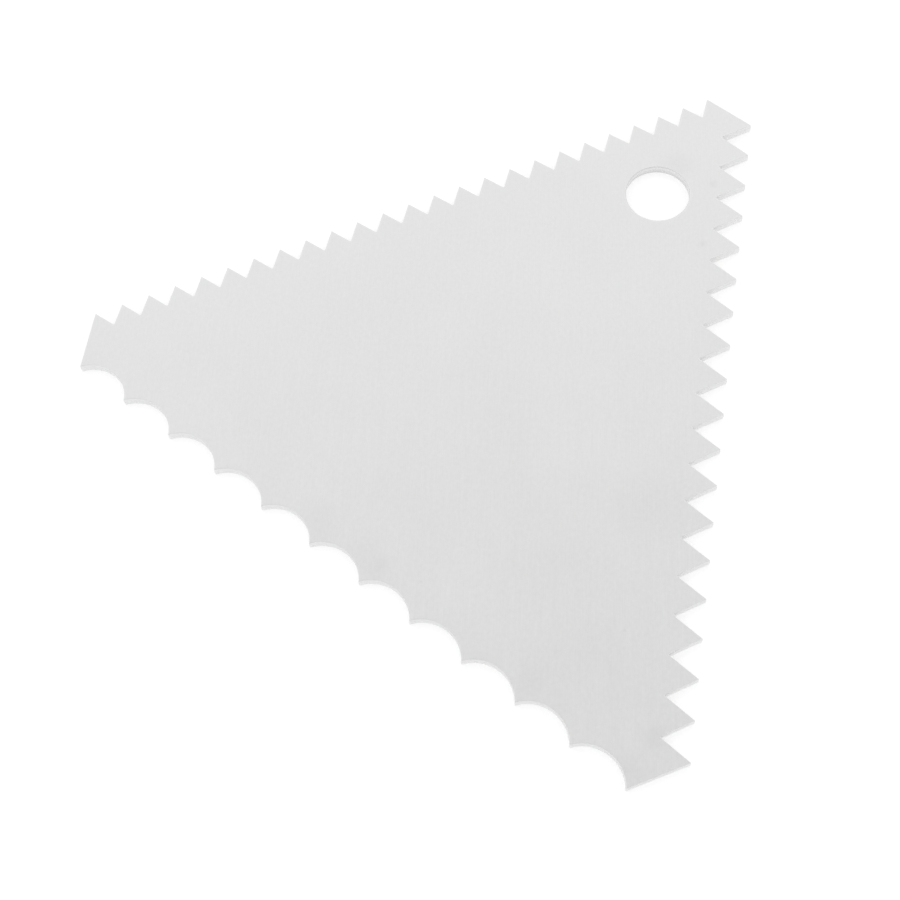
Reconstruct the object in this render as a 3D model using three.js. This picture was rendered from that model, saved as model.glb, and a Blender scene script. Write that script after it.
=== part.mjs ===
import * as THREE from 'three';

// Cake comb: one flat sheet of aluminium with three different working edges.
// Sizes are in millimetres. The sheet lies flat with its underside at z = 0, centred on x and y.

// Blank: an equilateral triangle with its three corners cut off straight
const SIDE = 117.6; // sharp corner to sharp corner
const HOLE_CORNER_CUT = 8.4; // across the corner beside the hanging hole
const SCALLOP_CORNER_CUT = 9.2; // across the corners at the two ends of the scallops
const THICKNESS = 1.5;
const EDGE_BREAK = 0.12; // deburring chamfer along every edge of both faces

// Fine teeth, along the back edge. Each pitch is nominal: a row is divided into a whole number of steps.
const FINE_PITCH = 4.17;
const FINE_DEPTH = 2.9;

// Coarse teeth, along the right edge
const COARSE_PITCH = 5.56;
const COARSE_DEPTH = 4.3;

// Scallops, along the left edge
const SCALLOP_PITCH = 9;
const SCALLOP_DEPTH = 2.4;

// Hanging hole, beside the corner between the two toothed edges
const HOLE_DIAMETER = 9.6;
const HOLE_RIM = 4; // metal left between the hole and the roots of the coarse teeth

// Longest straight facet on a round edge
const FACET_LENGTH = 0.8;

// Corners of the sharp triangle, placed so that the cut blank is centred
const CORNER_ANGLE = Math.PI / 3;
const plateDepth = (SIDE - SCALLOP_CORNER_CUT) * Math.sin(CORNER_ANGLE);
const sharpMiddle = (HOLE_CORNER_CUT - SCALLOP_CORNER_CUT) / 4;
const backLeft = new THREE.Vector2(sharpMiddle - SIDE / 2, plateDepth / 2);
const backRight = new THREE.Vector2(sharpMiddle + SIDE / 2, plateDepth / 2);
const front = new THREE.Vector2(sharpMiddle, plateDepth / 2 - SIDE * Math.sin(CORNER_ANGLE));
const triangleMiddle = backLeft.clone().add(backRight).add(front).divideScalar(3);

// The point at a distance from one place on the way to another
function pointTowards(from, to, distance) {
  const direction = to.clone().sub(from).normalize();
  return from.clone().addScaledVector(direction, distance);
}

// An edge divided into whole steps close to its pitch, walked with the metal on the left hand
function divideEdge(start, end, pitch) {
  const along = end.clone().sub(start);
  const count = Math.round(along.length() / pitch);
  const step = along.divideScalar(count);
  const inward = new THREE.Vector2(-step.y, step.x).normalize();
  return { count, step, inward };
}

// Points of a round stretch, both ends included
function arcPoints(centre, radius, fromAngle, toAngle, clockwise) {
  const arc = new THREE.EllipseCurve(centre.x, centre.y, radius, radius, fromAngle, toAngle, clockwise);
  return arc.getPoints(Math.ceil(arc.getLength() / FACET_LENGTH));
}

// A row of V-shaped notches that leaves a pointed tooth at both ends and between every two
function toothedEdge(start, end, pitch, depth) {
  const { count, step, inward } = divideEdge(start, end, pitch);
  const points = [start];
  for (let notch = 0; notch < count; notch += 1) {
    const root = start.clone().addScaledVector(step, notch + 0.5).addScaledVector(inward, depth);
    const tip = start.clone().addScaledVector(step, notch + 1);
    points.push(root, tip);
  }
  return points;
}

// A row of round bites that meet in sharp cusps
function scallopedEdge(start, end, pitch, depth) {
  const { count, step, inward } = divideEdge(start, end, pitch);
  const halfChord = step.length() / 2;
  const radius = (halfChord ** 2 + depth ** 2) / (2 * depth);
  const points = [start];
  for (let bite = 0; bite < count; bite += 1) {
    const cusp = start.clone().addScaledVector(step, bite);
    const nextCusp = start.clone().addScaledVector(step, bite + 1);
    const centre = cusp.clone().addScaledVector(step, 0.5).addScaledVector(inward, depth - radius);
    const fromAngle = cusp.sub(centre).angle();
    const toAngle = nextCusp.sub(centre).angle();
    const [, ...afterCusp] = arcPoints(centre, radius, fromAngle, toAngle, true);
    points.push(...afterCusp);
  }
  return points;
}

// Outline, counterclockwise seen from above: each edge runs from a tip at one corner cut to a tip at the next
function combOutline() {
  const coarseFront = pointTowards(front, backRight, SCALLOP_CORNER_CUT);
  const coarseBack = pointTowards(backRight, front, HOLE_CORNER_CUT);
  const fineRight = pointTowards(backRight, backLeft, HOLE_CORNER_CUT);
  const fineLeft = pointTowards(backLeft, backRight, SCALLOP_CORNER_CUT);
  const scallopBack = pointTowards(backLeft, front, SCALLOP_CORNER_CUT);
  const scallopFront = pointTowards(front, backLeft, SCALLOP_CORNER_CUT);
  return new THREE.Shape([
    ...toothedEdge(coarseFront, coarseBack, COARSE_PITCH, COARSE_DEPTH),
    ...toothedEdge(fineRight, fineLeft, FINE_PITCH, FINE_DEPTH),
    ...scallopedEdge(scallopBack, scallopFront, SCALLOP_PITCH, SCALLOP_DEPTH),
  ]);
}

// Hole on the line that halves its corner, as far from one toothed edge as from the other
function hangingHole() {
  const radius = HOLE_DIAMETER / 2;
  const inset = COARSE_DEPTH + HOLE_RIM + radius;
  const centre = pointTowards(backRight, triangleMiddle, inset / Math.sin(CORNER_ANGLE / 2));
  const [, ...circle] = arcPoints(centre, radius, 0, 2 * Math.PI, false);
  return new THREE.Path(circle);
}

// The stamped sheet, with the sharp edges of both faces broken
function combPlate() {
  const outline = combOutline();
  outline.holes.push(hangingHole());
  const geometry = new THREE.ExtrudeGeometry(outline, {
    depth: THICKNESS - 2 * EDGE_BREAK,
    bevelEnabled: true,
    bevelSegments: 1,
    bevelThickness: EDGE_BREAK,
    bevelSize: EDGE_BREAK,
    bevelOffset: -EDGE_BREAK,
  });
  const aluminium = new THREE.MeshStandardMaterial({ color: 0xdcdcdc, roughness: 0.5, metalness: 0.9 });
  const plate = new THREE.Mesh(geometry, aluminium);
  plate.name = 'comb_plate';
  plate.position.z = EDGE_BREAK;
  return plate;
}

const cakeComb = new THREE.Group();
cakeComb.add(combPlate());

export default cakeComb;
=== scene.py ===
import math

import bmesh
import bpy
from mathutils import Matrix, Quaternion, Vector


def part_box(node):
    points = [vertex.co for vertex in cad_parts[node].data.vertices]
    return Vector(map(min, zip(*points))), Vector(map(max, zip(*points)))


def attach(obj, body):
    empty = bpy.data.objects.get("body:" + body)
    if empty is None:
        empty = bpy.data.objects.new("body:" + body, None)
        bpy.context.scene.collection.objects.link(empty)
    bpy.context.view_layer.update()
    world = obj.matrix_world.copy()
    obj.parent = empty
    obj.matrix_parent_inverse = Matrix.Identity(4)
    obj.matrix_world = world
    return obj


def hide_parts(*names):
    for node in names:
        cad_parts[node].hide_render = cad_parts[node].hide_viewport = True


# A cake comb stamped from aluminium sheet. Sizes are in millimetres and become metres in Blender's objects.
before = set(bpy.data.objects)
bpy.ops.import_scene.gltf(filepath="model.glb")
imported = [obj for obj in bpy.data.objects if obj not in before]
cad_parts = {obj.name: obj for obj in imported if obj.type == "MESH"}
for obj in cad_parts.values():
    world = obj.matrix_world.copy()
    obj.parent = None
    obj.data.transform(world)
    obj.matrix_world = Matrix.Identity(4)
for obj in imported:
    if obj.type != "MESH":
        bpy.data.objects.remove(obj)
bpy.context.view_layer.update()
MM = 0.001
PLATE_NODE = "comb_plate"
plate_low, plate_high = (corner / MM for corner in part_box(PLATE_NODE))

# Blank: an equilateral triangle with its three corners cut off straight
HOLE_CORNER_CUT = 8.4
SCALLOP_CORNER_CUT = 9.2
CORNER_ANGLE = math.radians(60)
THICKNESS = plate_high.z - plate_low.z
SIDE = plate_high.x - plate_low.x + (HOLE_CORNER_CUT + SCALLOP_CORNER_CUT) / 2

# Worked edges
FINE_NOTCHES = 24
FINE_DEPTH = 2.9
COARSE_NOTCHES = 18
COARSE_DEPTH = 4.3
SCALLOPS = 11
SCALLOP_DEPTH = 2.4

# Hanging hole, with the metal left between it and the roots of the coarse teeth
HOLE_RADIUS = 4.8
HOLE_RIM = 4.0

# Tiny roundings that the punches leave on tips and in roots. A tip moved inwards is rounded less, down to the
# least rounding.
TIP_ROUND = 0.07
ROOT_ROUND = 0.10
LEAST_ROUND = 0.04

# Sheared edge, from the punched face on: roll-over, burnished land, slanted fracture and broken edge
ROLL_OVER = 0.12
LAND_DEPTH = 0.75
FRACTURE_SLANT = 0.06
EDGE_BREAK = 0.04

# Margin of both faces along every edge, worn from nothing at its inner side to fully at the outline
FACE_BAND = 0.34
WEAR_LAYER = "wear"

# Fineness of the round stretches
ROUND_STEPS = 5
SCALLOP_STEPS = 18
HOLE_STEPS = 112
ROLL_STEPS = 5
BREAK_STEPS = 3

# Places of the materials on the sheet
FACE, OUTLINE_WALL, HOLE_WALL = range(3)

# Edges turned more than this stay sharp
SHARP_ANGLE = math.radians(40)

# Greys of the metal under even white light, with roughnesses, and heights of the relief. The two sheared
# walls are one metal, but their greys carry painted light and painted shade: the outline's walls are painted
# lighter, the hole's wall darker.
SHEET_GREY = 0.78
SHEET_ROUGHNESS = 0.38
FACE_RELIEF = 0.004
# Painted light: the outline's walls are made lighter than the hole's wall of the same sheared metal
OUTLINE_GREY_PAINTED_LIGHTER = 0.82
# Painted shade: the hole's wall is made darker than the outline's walls, as shade inside the hole
HOLE_GREY_PAINTED_SHADE = 0.78
LAND_ROUGHNESS = 0.28
WALL_RELIEF = 0.015

# Noises of the rolled face: features in a millimetre along the rolling direction, across it and through the
# sheet, then octaves of finer detail
ROLLING_DIRECTION = math.radians(66)
GRAIN = ((1.5, 2.1, 2.1), 1.0)
LINES = ((0.12, 8.0, 8.0), 2.0)
STREAKS = ((0.03, 1.1, 1.1), 4.0)
CLOUDS = ((0.05, 0.06, 0.06), 4.0)

# Noises of the marks and the sheared walls: features in a millimetre along x, y and z, then octaves
SMEARS = ((0.4, 0.4, 0.4), 3.0)
BORDER = ((1.2, 1.2, 0.3), 3.0)
DRAGS = ((4.0, 4.0, 0.3), 3.0)
TEARS = ((5.0, 5.0, 3.0), 5.0)

# How strongly the finer octaves of a noise count, and the value that it varies around
NOISE_ROUGHNESS = 0.6
NOISE_MIDDLE = 0.5

# How much each feature changes the grey, the roughness and the relief of a face
FACE_GREY = {
    "grain": 0.06,
    "lines": 0.06,
    "streaks": 0.023,
    "clouds": 0.06,
    "pits": -0.045,
    "marks": -0.020,
    "wear": 0.02,
}
FACE_ROUGHNESS = {
    "grain": 0.10,
    "lines": 0.16,
    "streaks": 0.08,
    "clouds": 0.10,
    "pits": 0.15,
    "marks": 0.02,
    "wear": -0.08,
}
FACE_HEIGHT = {"grain": 1.0, "lines": 1.0, "streaks": 0.8, "pits": -2.0}

# The same for a sheared wall, and how far the border between land and fracture wavers and blurs
WALL_GREY = {"drags": 0.05, "tears": 0.10}
WALL_ROUGHNESS = {"torn": 0.20, "drags": 0.12, "tears": 0.20}
WALL_HEIGHT = {"drags": 0.07, "tears": 1.0}
BORDER_WAVER = 0.5
BORDER_BLUR = 0.05

# Pits: cells in a millimetre, share of the cells that have one, and radii of a pit's floor and rim
PIT_CELLS = 0.11
PIT_SHARE = 0.38
PIT_FLOOR = 0.11
PIT_RIM = 0.41

# Dull smears and specks that handling left on the upper face: place in x and y, reach and strength
HANDLING_MARKS = (
    (-24.2, -6.8, 2.5, 1.3),
    (-25.0, -4.0, 5.0, 0.7),
    (-29.5, 2.2, 5.0, 0.7),
    (-10.3, -29.5, 4.0, 1.0),
    (-3.2, -45.0, 3.5, 1.2),
    (1.0, -42.0, 3.0, 1.6),
    (13.0, -12.0, 7.0, 0.6),
    (40.4, 37.5, 4.0, 1.1),
    (38.4, 23.1, 0.9, 2.0),
    (44.2, 32.2, 1.1, 1.3),
)

# Depth in the sheet counts this many times in a mark's reach, which keeps the marks off the underside
KEEP_TO_FACE = 6

# White floor, just clear of the sheet. What the camera and the metal see of it is part lit, with the comb's
# shadow, and part its own white.
FLOOR_REACH = 3000.0
FLOOR_DROP = 0.02
FLOOR_GREY = 0.85
SEEN_GREY = 0.56
SEEN_WHITE = 0.57

# Soft light from all round, as in a light tent: white just above the floor, then dim, bright part of the way
# up, medium overhead, and somewhat shaded in front. Heights and sides are parts of a unit direction.
HORIZON_LIGHT = 1.15
LOW_LIGHT = 0.60
PEAK_LIGHT = 1.143
ZENITH_LIGHT = 0.878
FRONT_LIGHT = 0.80
HORIZON_HEIGHT = math.sin(math.radians(1))
LOW_HEIGHT = math.sin(math.radians(11))
PEAK_HEIGHT = math.sin(math.radians(45))
FRONT_SIDE = -0.9
BACK_SIDE = 0.5

# Camera, at the photograph's viewing angle
CAMERA_PLACE = Vector((-30.34, -77.84, 192.17))
CAMERA_AIM = Vector((-8.64, 5.85, 1.5))
CAMERA_ROLL = math.radians(7.0)
SENSOR_WIDTH = 36.0
LENS = 59.24
NEAREST = 10.0


def point_towards(start, end, distance):
    return start + (end - start).normalized() * distance


def sharp_corners():
    """Back left, back right and front corners of the blank, before they are cut off."""
    middle = (plate_low.x + plate_high.x) / 2 + (HOLE_CORNER_CUT - SCALLOP_CORNER_CUT) / 4
    back = plate_high.y
    front = back - SIDE * math.sin(CORNER_ANGLE)
    return Vector((middle - SIDE / 2, back)), Vector((middle + SIDE / 2, back)), Vector((middle, front))


def divide_edge(start, end, count):
    """One step along an edge, and the direction into the metal on its left."""
    step = (end - start) / count
    return step, Vector((-step.y, step.x)).normalized()


def toothed_edge(start, end, count, depth):
    """Tips and roots of a row of V notches, each with its rounding."""
    step, inward = divide_edge(start, end, count)
    corners = [(start, TIP_ROUND)]
    for notch in range(count):
        corners.append((start + step * (notch + 0.5) + inward * depth, ROOT_ROUND))
        corners.append((start + step * (notch + 1), TIP_ROUND))
    return corners


def scalloped_edge(start, end, count, depth):
    """Cusps with their rounding, and between them the points of the round bites, which need none."""
    step, inward = divide_edge(start, end, count)
    half_chord = step.length / 2
    radius = (half_chord ** 2 + depth ** 2) / (2 * depth)
    half_angle = math.asin(half_chord / radius)
    along = step.normalized()
    corners = [(start, TIP_ROUND)]
    for bite in range(count):
        centre = start + step * (bite + 0.5) + inward * (depth - radius)
        for k in range(1, SCALLOP_STEPS):
            angle = half_angle * (2 * k / SCALLOP_STEPS - 1)
            corners.append((centre + (along * math.sin(angle) + inward * math.cos(angle)) * radius, 0))
        corners.append((start + step * (bite + 1), TIP_ROUND))
    return corners


def comb_corners():
    """The outline, counterclockwise seen from above: points, each with its rounding."""
    back_left, back_right, front = sharp_corners()
    coarse_front = point_towards(front, back_right, SCALLOP_CORNER_CUT)
    coarse_back = point_towards(back_right, front, HOLE_CORNER_CUT)
    fine_right = point_towards(back_right, back_left, HOLE_CORNER_CUT)
    fine_left = point_towards(back_left, back_right, SCALLOP_CORNER_CUT)
    scallop_back = point_towards(back_left, front, SCALLOP_CORNER_CUT)
    scallop_front = point_towards(front, back_left, SCALLOP_CORNER_CUT)
    return (
        toothed_edge(coarse_front, coarse_back, COARSE_NOTCHES, COARSE_DEPTH)
        + toothed_edge(fine_right, fine_left, FINE_NOTCHES, FINE_DEPTH)
        + scalloped_edge(scallop_back, scallop_front, SCALLOPS, SCALLOP_DEPTH)
    )


def turned(vector, angle):
    cosine = math.cos(angle)
    sine = math.sin(angle)
    return Vector((vector.x * cosine - vector.y * sine, vector.x * sine + vector.y * cosine))


def rounded_corner(corner, before, after, inset, rounding):
    """An arc in place of a corner that lies between two directions of travel."""
    convex = before.x * after.y - before.y * after.x > 0
    side = 1 if convex else -1
    radius = max(rounding - inset, LEAST_ROUND) if convex else rounding + inset
    turn = before.angle(after)
    outward = Vector((before.y, -before.x)) * side
    centre = corner - before * (radius * math.tan(turn / 2)) - outward * radius
    angles = [side * turn * k / ROUND_STEPS for k in range(ROUND_STEPS + 1)]
    return [centre + turned(outward, angle) * radius for angle in angles]


def outline_loop(corners, inset):
    """The outline moved into the metal by inset, with its tips and roots rounded."""
    loop = []
    for i, (here, rounding) in enumerate(corners):
        before = (here - corners[i - 1][0]).normalized()
        after = (corners[(i + 1) % len(corners)][0] - here).normalized()
        inward_before = Vector((-before.y, before.x))
        inward_after = Vector((-after.y, after.x))
        moved = here + (inward_before + inward_after) * (inset / (1 + inward_before.dot(inward_after)))
        if rounding:
            loop += rounded_corner(moved, before, after, inset, rounding)
        else:
            loop.append(moved)
    return loop


def hole_centre():
    """On the line that halves its corner, as far from one toothed edge as from the other."""
    back_left, back_right, front = sharp_corners()
    middle = (back_left + back_right + front) / 3
    inset = COARSE_DEPTH + HOLE_RIM + HOLE_RADIUS
    return point_towards(back_right, middle, inset / math.sin(CORNER_ANGLE / 2))


def hole_loop(centre, inset):
    """The rim of the hole, clockwise, moved into the metal by inset."""
    start = Vector((HOLE_RADIUS + inset, 0))
    return [centre + turned(start, -2 * math.pi * k / HOLE_STEPS) for k in range(HOLE_STEPS)]


def sheared_edge(wall):
    """Rings from the punched face on: inset, depth below that face and the surface after each ring."""
    rings = [(FACE_BAND, 0.0, FACE)]
    for k in range(ROLL_STEPS + 1):
        angle = math.pi / 2 * k / ROLL_STEPS
        rings.append((ROLL_OVER * (1 - math.sin(angle)), ROLL_OVER * (1 - math.cos(angle)), wall))
    rings.append((0.0, LAND_DEPTH, wall))
    for k in range(BREAK_STEPS + 1):
        angle = math.pi / 2 * k / BREAK_STEPS
        inset = FRACTURE_SLANT + EDGE_BREAK * (1 - math.cos(angle))
        rings.append((inset, THICKNESS - EDGE_BREAK * (1 - math.sin(angle)), wall))
    inset, depth, _ = rings.pop()
    return rings + [(inset, depth, FACE), (FACE_BAND, THICKNESS, FACE)]


def ring_edges(mesh, ring):
    return [mesh.edges.get((ring[k - 1], ring[k])) for k in range(len(ring))]


def add_wall(mesh, wear, rings, loop_at, height_at):
    """Rings of vertices joined by quads. Returns the edges of the first ring and of the last."""
    loops = []
    for inset, depth, _ in rings:
        height = height_at(depth)
        loop = [mesh.verts.new((p.x * MM, p.y * MM, height * MM)) for p in loop_at(inset)]
        for vertex in loop:
            vertex[wear] = 1 - inset / FACE_BAND
        loops.append(loop)
    for first, second, (_, _, surface) in zip(loops, loops[1:], rings):
        for k in range(len(first)):
            quad = mesh.faces.new((first[k - 1], second[k - 1], second[k], first[k]))
            quad.material_index = surface
    return ring_edges(mesh, loops[0]), ring_edges(mesh, loops[-1])


def stamped_sheet():
    """The whole comb: the hole was pierced from above, the outline was cut from below."""
    corners = comb_corners()
    centre = hole_centre()
    mesh = bmesh.new()
    wear = mesh.verts.layers.float.new(WEAR_LAYER)
    rings = sheared_edge(OUTLINE_WALL)
    low_outline, high_outline = add_wall(
        mesh, wear, rings, lambda inset: outline_loop(corners, inset), lambda depth: plate_low.z + depth
    )
    rings = sheared_edge(HOLE_WALL)
    high_hole, low_hole = add_wall(
        mesh, wear, rings, lambda inset: hole_loop(centre, inset), lambda depth: plate_high.z - depth
    )
    for edges in (low_outline + low_hole, high_outline + high_hole):
        bmesh.ops.triangle_fill(mesh, use_beauty=True, edges=edges)
    bmesh.ops.recalc_face_normals(mesh, faces=mesh.faces)
    for face in mesh.faces:
        face.smooth = True
    data = bpy.data.meshes.new("stamped_sheet")
    mesh.to_mesh(data)
    mesh.free()
    data.set_sharp_from_angle(angle=SHARP_ANGLE)
    sheet = bpy.data.objects.new("stamped_sheet", data)
    bpy.context.scene.collection.objects.link(sheet)
    weighting = sheet.modifiers.new("flat_face_normals", "WEIGHTED_NORMAL")
    weighting.keep_sharp = True
    return sheet


def node(tree, kind, inputs=None, **settings):
    """A shader node with its settings, and with each input set to a value or linked to a socket."""
    made = tree.nodes.new(kind)
    for name, value in settings.items():
        setattr(made, name, value)
    for name, value in (inputs or {}).items():
        if isinstance(value, bpy.types.NodeSocket):
            tree.links.new(value, made.inputs[name])
        else:
            made.inputs[name].default_value = value
    return made


def maths(tree, operation, *values):
    return node(tree, "ShaderNodeMath", dict(enumerate(values)), operation=operation).outputs["Value"]


def remap(tree, value, from_low, from_high, to_low, to_high):
    inputs = {
        "Value": value,
        "From Min": from_low,
        "From Max": from_high,
        "To Min": to_low,
        "To Max": to_high,
    }
    return node(tree, "ShaderNodeMapRange", inputs, interpolation_type="SMOOTHSTEP").outputs["Result"]


def stretched(tree, coordinates, scale):
    inputs = {0: coordinates, 1: scale}
    return node(tree, "ShaderNodeVectorMath", inputs, operation="MULTIPLY").outputs["Vector"]


def noise(tree, coordinates, fineness, detail):
    """Soft noise around zero; fineness is how many features fit in a millimetre in each direction."""
    inputs = {
        "Vector": stretched(tree, coordinates, fineness),
        "Scale": 1.0,
        "Detail": detail,
        "Roughness": NOISE_ROUGHNESS,
    }
    field = node(tree, "ShaderNodeTexNoise", inputs).outputs["Fac"]
    return maths(tree, "SUBTRACT", field, NOISE_MIDDLE)


def blend(tree, base, fields, shares):
    """A base value plus fields, each with its share."""
    result = base
    for name, share in shares.items():
        result = maths(tree, "MULTIPLY_ADD", fields[name], share, result)
    return result


def metal(name):
    """A new metal, its tree, and places in millimetres: as they are, and turned to the rolling direction."""
    material = bpy.data.materials.new(name)
    material.use_nodes = True
    tree = material.node_tree
    tree.nodes["Principled BSDF"].inputs["Metallic"].default_value = 1.0
    place = stretched(tree, node(tree, "ShaderNodeTexCoord").outputs["Object"], (1 / MM, 1 / MM, 1 / MM))
    inputs = {"Vector": place, "Rotation": (0, 0, -ROLLING_DIRECTION)}
    rolled = node(tree, "ShaderNodeMapping", inputs).outputs["Vector"]
    return material, tree, place, rolled


def finish_metal(tree, grey, roughness, height, relief):
    shader = tree.nodes["Principled BSDF"]
    colour = node(tree, "ShaderNodeCombineColor", {"Red": grey, "Green": grey, "Blue": grey})
    bump = node(tree, "ShaderNodeBump", {"Height": height, "Distance": relief * MM})
    tree.links.new(colour.outputs["Color"], shader.inputs["Base Color"])
    tree.links.new(roughness, shader.inputs["Roughness"])
    tree.links.new(bump.outputs["Normal"], shader.inputs["Normal"])


def scattered_pits(tree, place):
    """Small round pits, in some of the cells of a loose pattern."""
    cells = node(tree, "ShaderNodeTexVoronoi", {"Vector": place, "Scale": PIT_CELLS}, feature="F1")
    chosen = maths(tree, "GREATER_THAN", cells.outputs["Color"], 1 - PIT_SHARE)
    depth = remap(tree, cells.outputs["Distance"], PIT_FLOOR * PIT_CELLS, PIT_RIM * PIT_CELLS, 1.0, 0.0)
    return maths(tree, "MULTIPLY", chosen, depth)


def handling_marks(tree, place):
    """Dull smears with uneven borders, on the upper face only."""
    unevenness = noise(tree, place, *SMEARS)
    dullness = 0.0
    for x, y, reach, strength in HANDLING_MARKS:
        inputs = {0: place, 1: (x, y, plate_high.z)}
        offset = node(tree, "ShaderNodeVectorMath", inputs, operation="SUBTRACT").outputs["Vector"]
        inputs = {0: stretched(tree, offset, (1, 1, KEEP_TO_FACE))}
        distance = node(tree, "ShaderNodeVectorMath", inputs, operation="LENGTH").outputs["Value"]
        distance = maths(tree, "MULTIPLY_ADD", unevenness, reach, distance)
        dullness = maths(tree, "ADD", dullness, remap(tree, distance, 0.0, reach, strength, 0.0))
    return dullness


def rolled_face():
    """Mill-finished sheet: grain, lines and streaks along the rolling direction, and signs of use."""
    material, tree, place, rolled = metal("rolled_face")
    fields = {
        "grain": noise(tree, rolled, *GRAIN),
        "lines": noise(tree, rolled, *LINES),
        "streaks": noise(tree, rolled, *STREAKS),
        "clouds": noise(tree, rolled, *CLOUDS),
        "pits": scattered_pits(tree, place),
        "marks": handling_marks(tree, place),
        "wear": node(tree, "ShaderNodeAttribute", attribute_name=WEAR_LAYER).outputs["Fac"],
    }
    grey = blend(tree, SHEET_GREY, fields, FACE_GREY)
    roughness = blend(tree, SHEET_ROUGHNESS, fields, FACE_ROUGHNESS)
    height = blend(tree, 0.0, fields, FACE_HEIGHT)
    finish_metal(tree, grey, roughness, height, FACE_RELIEF)
    return material


def sheared_wall(name, base, punched_face):
    """A smooth land with drag marks from face to face and, past a wavering border, the rough fracture."""
    material, tree, place, _ = metal(name)
    height = node(tree, "ShaderNodeSeparateXYZ", {"Vector": place}).outputs["Z"]
    depth = maths(tree, "ABSOLUTE", maths(tree, "SUBTRACT", height, punched_face))
    depth = maths(tree, "MULTIPLY_ADD", noise(tree, place, *BORDER), BORDER_WAVER, depth)
    torn = remap(tree, depth, LAND_DEPTH - BORDER_BLUR, LAND_DEPTH + BORDER_BLUR, 0.0, 1.0)
    smooth = maths(tree, "SUBTRACT", 1.0, torn)
    fields = {
        "torn": torn,
        "drags": maths(tree, "MULTIPLY", noise(tree, place, *DRAGS), smooth),
        "tears": maths(tree, "MULTIPLY", noise(tree, place, *TEARS), torn),
    }
    grey = blend(tree, base, fields, WALL_GREY)
    roughness = blend(tree, LAND_ROUGHNESS, fields, WALL_ROUGHNESS)
    relief = blend(tree, 0.0, fields, WALL_HEIGHT)
    finish_metal(tree, grey, roughness, relief, WALL_RELIEF)
    return material


def floor_material():
    """A lit floor, which rays from the camera and the metal see with some white of its own."""
    material = bpy.data.materials.new("white_floor")
    material.use_nodes = True
    tree = material.node_tree
    tree.nodes.remove(tree.nodes["Principled BSDF"])
    lit = node(tree, "ShaderNodeBsdfDiffuse", {"Color": (FLOOR_GREY, FLOOR_GREY, FLOOR_GREY, 1)})
    seen_lit = node(tree, "ShaderNodeBsdfDiffuse", {"Color": (SEEN_GREY, SEEN_GREY, SEEN_GREY, 1)})
    own_white = node(tree, "ShaderNodeEmission", {"Strength": SEEN_WHITE})
    inputs = {0: seen_lit.outputs["BSDF"], 1: own_white.outputs["Emission"]}
    seen = node(tree, "ShaderNodeAddShader", inputs)
    path = node(tree, "ShaderNodeLightPath")
    straight = maths(tree, "MAXIMUM", path.outputs["Is Camera Ray"], path.outputs["Is Glossy Ray"])
    straight = maths(tree, "MAXIMUM", straight, path.outputs["Is Transmission Ray"])
    inputs = {0: straight, 1: lit.outputs["BSDF"], 2: seen.outputs["Shader"]}
    mix = node(tree, "ShaderNodeMixShader", inputs)
    tree.links.new(mix.outputs["Shader"], tree.nodes["Material Output"].inputs["Surface"])
    return material


def make_floor():
    data = bpy.data.meshes.new("floor")
    height = plate_low.z - FLOOR_DROP
    places = [(-FLOOR_REACH, -FLOOR_REACH), (FLOOR_REACH, -FLOOR_REACH)]
    places += [(-x, -y) for x, y in places]
    data.from_pydata([(x * MM, y * MM, height * MM) for x, y in places], [], [(0, 1, 2, 3)])
    data.materials.append(floor_material())
    floor = bpy.data.objects.new("floor", data)
    bpy.context.scene.collection.objects.link(floor)


def make_world():
    world = bpy.data.worlds.new("light_tent")
    world.use_nodes = True
    tree = world.node_tree
    direction = node(tree, "ShaderNodeTexCoord").outputs["Generated"]
    parts = node(tree, "ShaderNodeSeparateXYZ", {"Vector": direction})
    above_peak = remap(tree, parts.outputs["Z"], PEAK_HEIGHT, 1.0, PEAK_LIGHT, ZENITH_LIGHT)
    below_peak = remap(tree, parts.outputs["Z"], LOW_HEIGHT, PEAK_HEIGHT, LOW_LIGHT / PEAK_LIGHT, 1.0)
    shade = remap(tree, parts.outputs["Y"], FRONT_SIDE, BACK_SIDE, FRONT_LIGHT, 1.0)
    tent = maths(tree, "MULTIPLY", maths(tree, "MULTIPLY", above_peak, below_peak), shade)
    glow = remap(tree, parts.outputs["Z"], HORIZON_HEIGHT, LOW_HEIGHT, HORIZON_LIGHT - LOW_LIGHT, 0.0)
    strength = maths(tree, "ADD", tent, glow)
    tree.links.new(strength, tree.nodes["Background"].inputs["Strength"])
    tree.nodes["Background"].inputs["Color"].default_value = (1, 1, 1, 1)
    bpy.context.scene.world = world


def make_camera():
    data = bpy.data.cameras.new("photo_camera")
    data.sensor_width = SENSOR_WIDTH
    data.lens = LENS
    data.clip_start = NEAREST * MM
    camera = bpy.data.objects.new("photo_camera", data)
    camera.location = CAMERA_PLACE * MM
    camera.rotation_mode = "QUATERNION"
    look = (CAMERA_AIM - CAMERA_PLACE).to_track_quat("-Z", "Y")
    camera.rotation_quaternion = look @ Quaternion((0, 0, 1), -CAMERA_ROLL)
    bpy.context.scene.collection.objects.link(camera)
    bpy.context.scene.camera = camera


sheet = stamped_sheet()
sheet.data.materials.append(rolled_face())
# The outline's wall grey is painted light; its sheared finish is the same as the hole's
sheet.data.materials.append(sheared_wall("outline_wall_painted_light", OUTLINE_GREY_PAINTED_LIGHTER, plate_low.z))
# The hole's wall grey is painted shade, darker than the outline's walls of the same metal
sheet.data.materials.append(sheared_wall("hole_wall_painted_shade", HOLE_GREY_PAINTED_SHADE, plate_high.z))
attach(sheet, "root")
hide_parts(PLATE_NODE)

make_floor()
make_world()
make_camera()
bpy.context.scene.view_settings.view_transform = "Standard"
